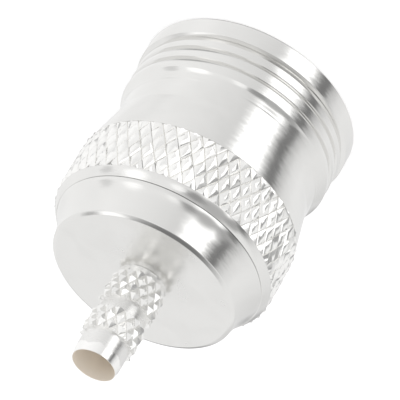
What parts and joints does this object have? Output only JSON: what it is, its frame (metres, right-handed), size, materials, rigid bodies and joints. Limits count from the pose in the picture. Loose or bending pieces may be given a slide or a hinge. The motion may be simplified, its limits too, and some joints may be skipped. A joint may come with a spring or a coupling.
{
  "type": "n type connector",
  "caption": "Straight coaxial crimp plug with a knurled coupling nut that turns on its body, and a knurled crimp stem for the cable's braid.",
  "frame": {"origin": "centre of the coupling nut's mouth, on the plane that the plug stands on", "axes": "+Z along the plug's axis from the nut's mouth to the crimp stem's tip; +X through one slot of the outer contact"},
  "size_m": [0.021, 0.021, 0.032],
  "materials": {
    "nickel_nut": "bright nickel plating over turned and knurled brass",
    "nickel_body": "bright nickel plating over turned brass",
    "nickel_contact": "bright nickel plating over slotted brass",
    "spring_steel": "plain spring wire",
    "silicone": "matt red-brown silicone rubber",
    "ptfe": "waxy white fluoropolymer",
    "gold_contact": "gold plating over brass"
  },
  "bodies": {
    "plug_body": {"connector_body": "nickel_body", "retaining_ring": "spring_steel", "gasket": "silicone", "outer_contact": "nickel_contact", "front_insulator": "ptfe", "rear_insulator": "ptfe", "centre_contact": "gold_contact"},
    "nut": {"coupling_nut": "nickel_nut"}
  },
  "joints": [
    {"name": "nut_spin", "type": "hinge", "parent": "plug_body", "child": "nut", "pos_m": [0, 0, 0.0178], "axis": [0, 0, 1], "continuous": true}
  ]
}
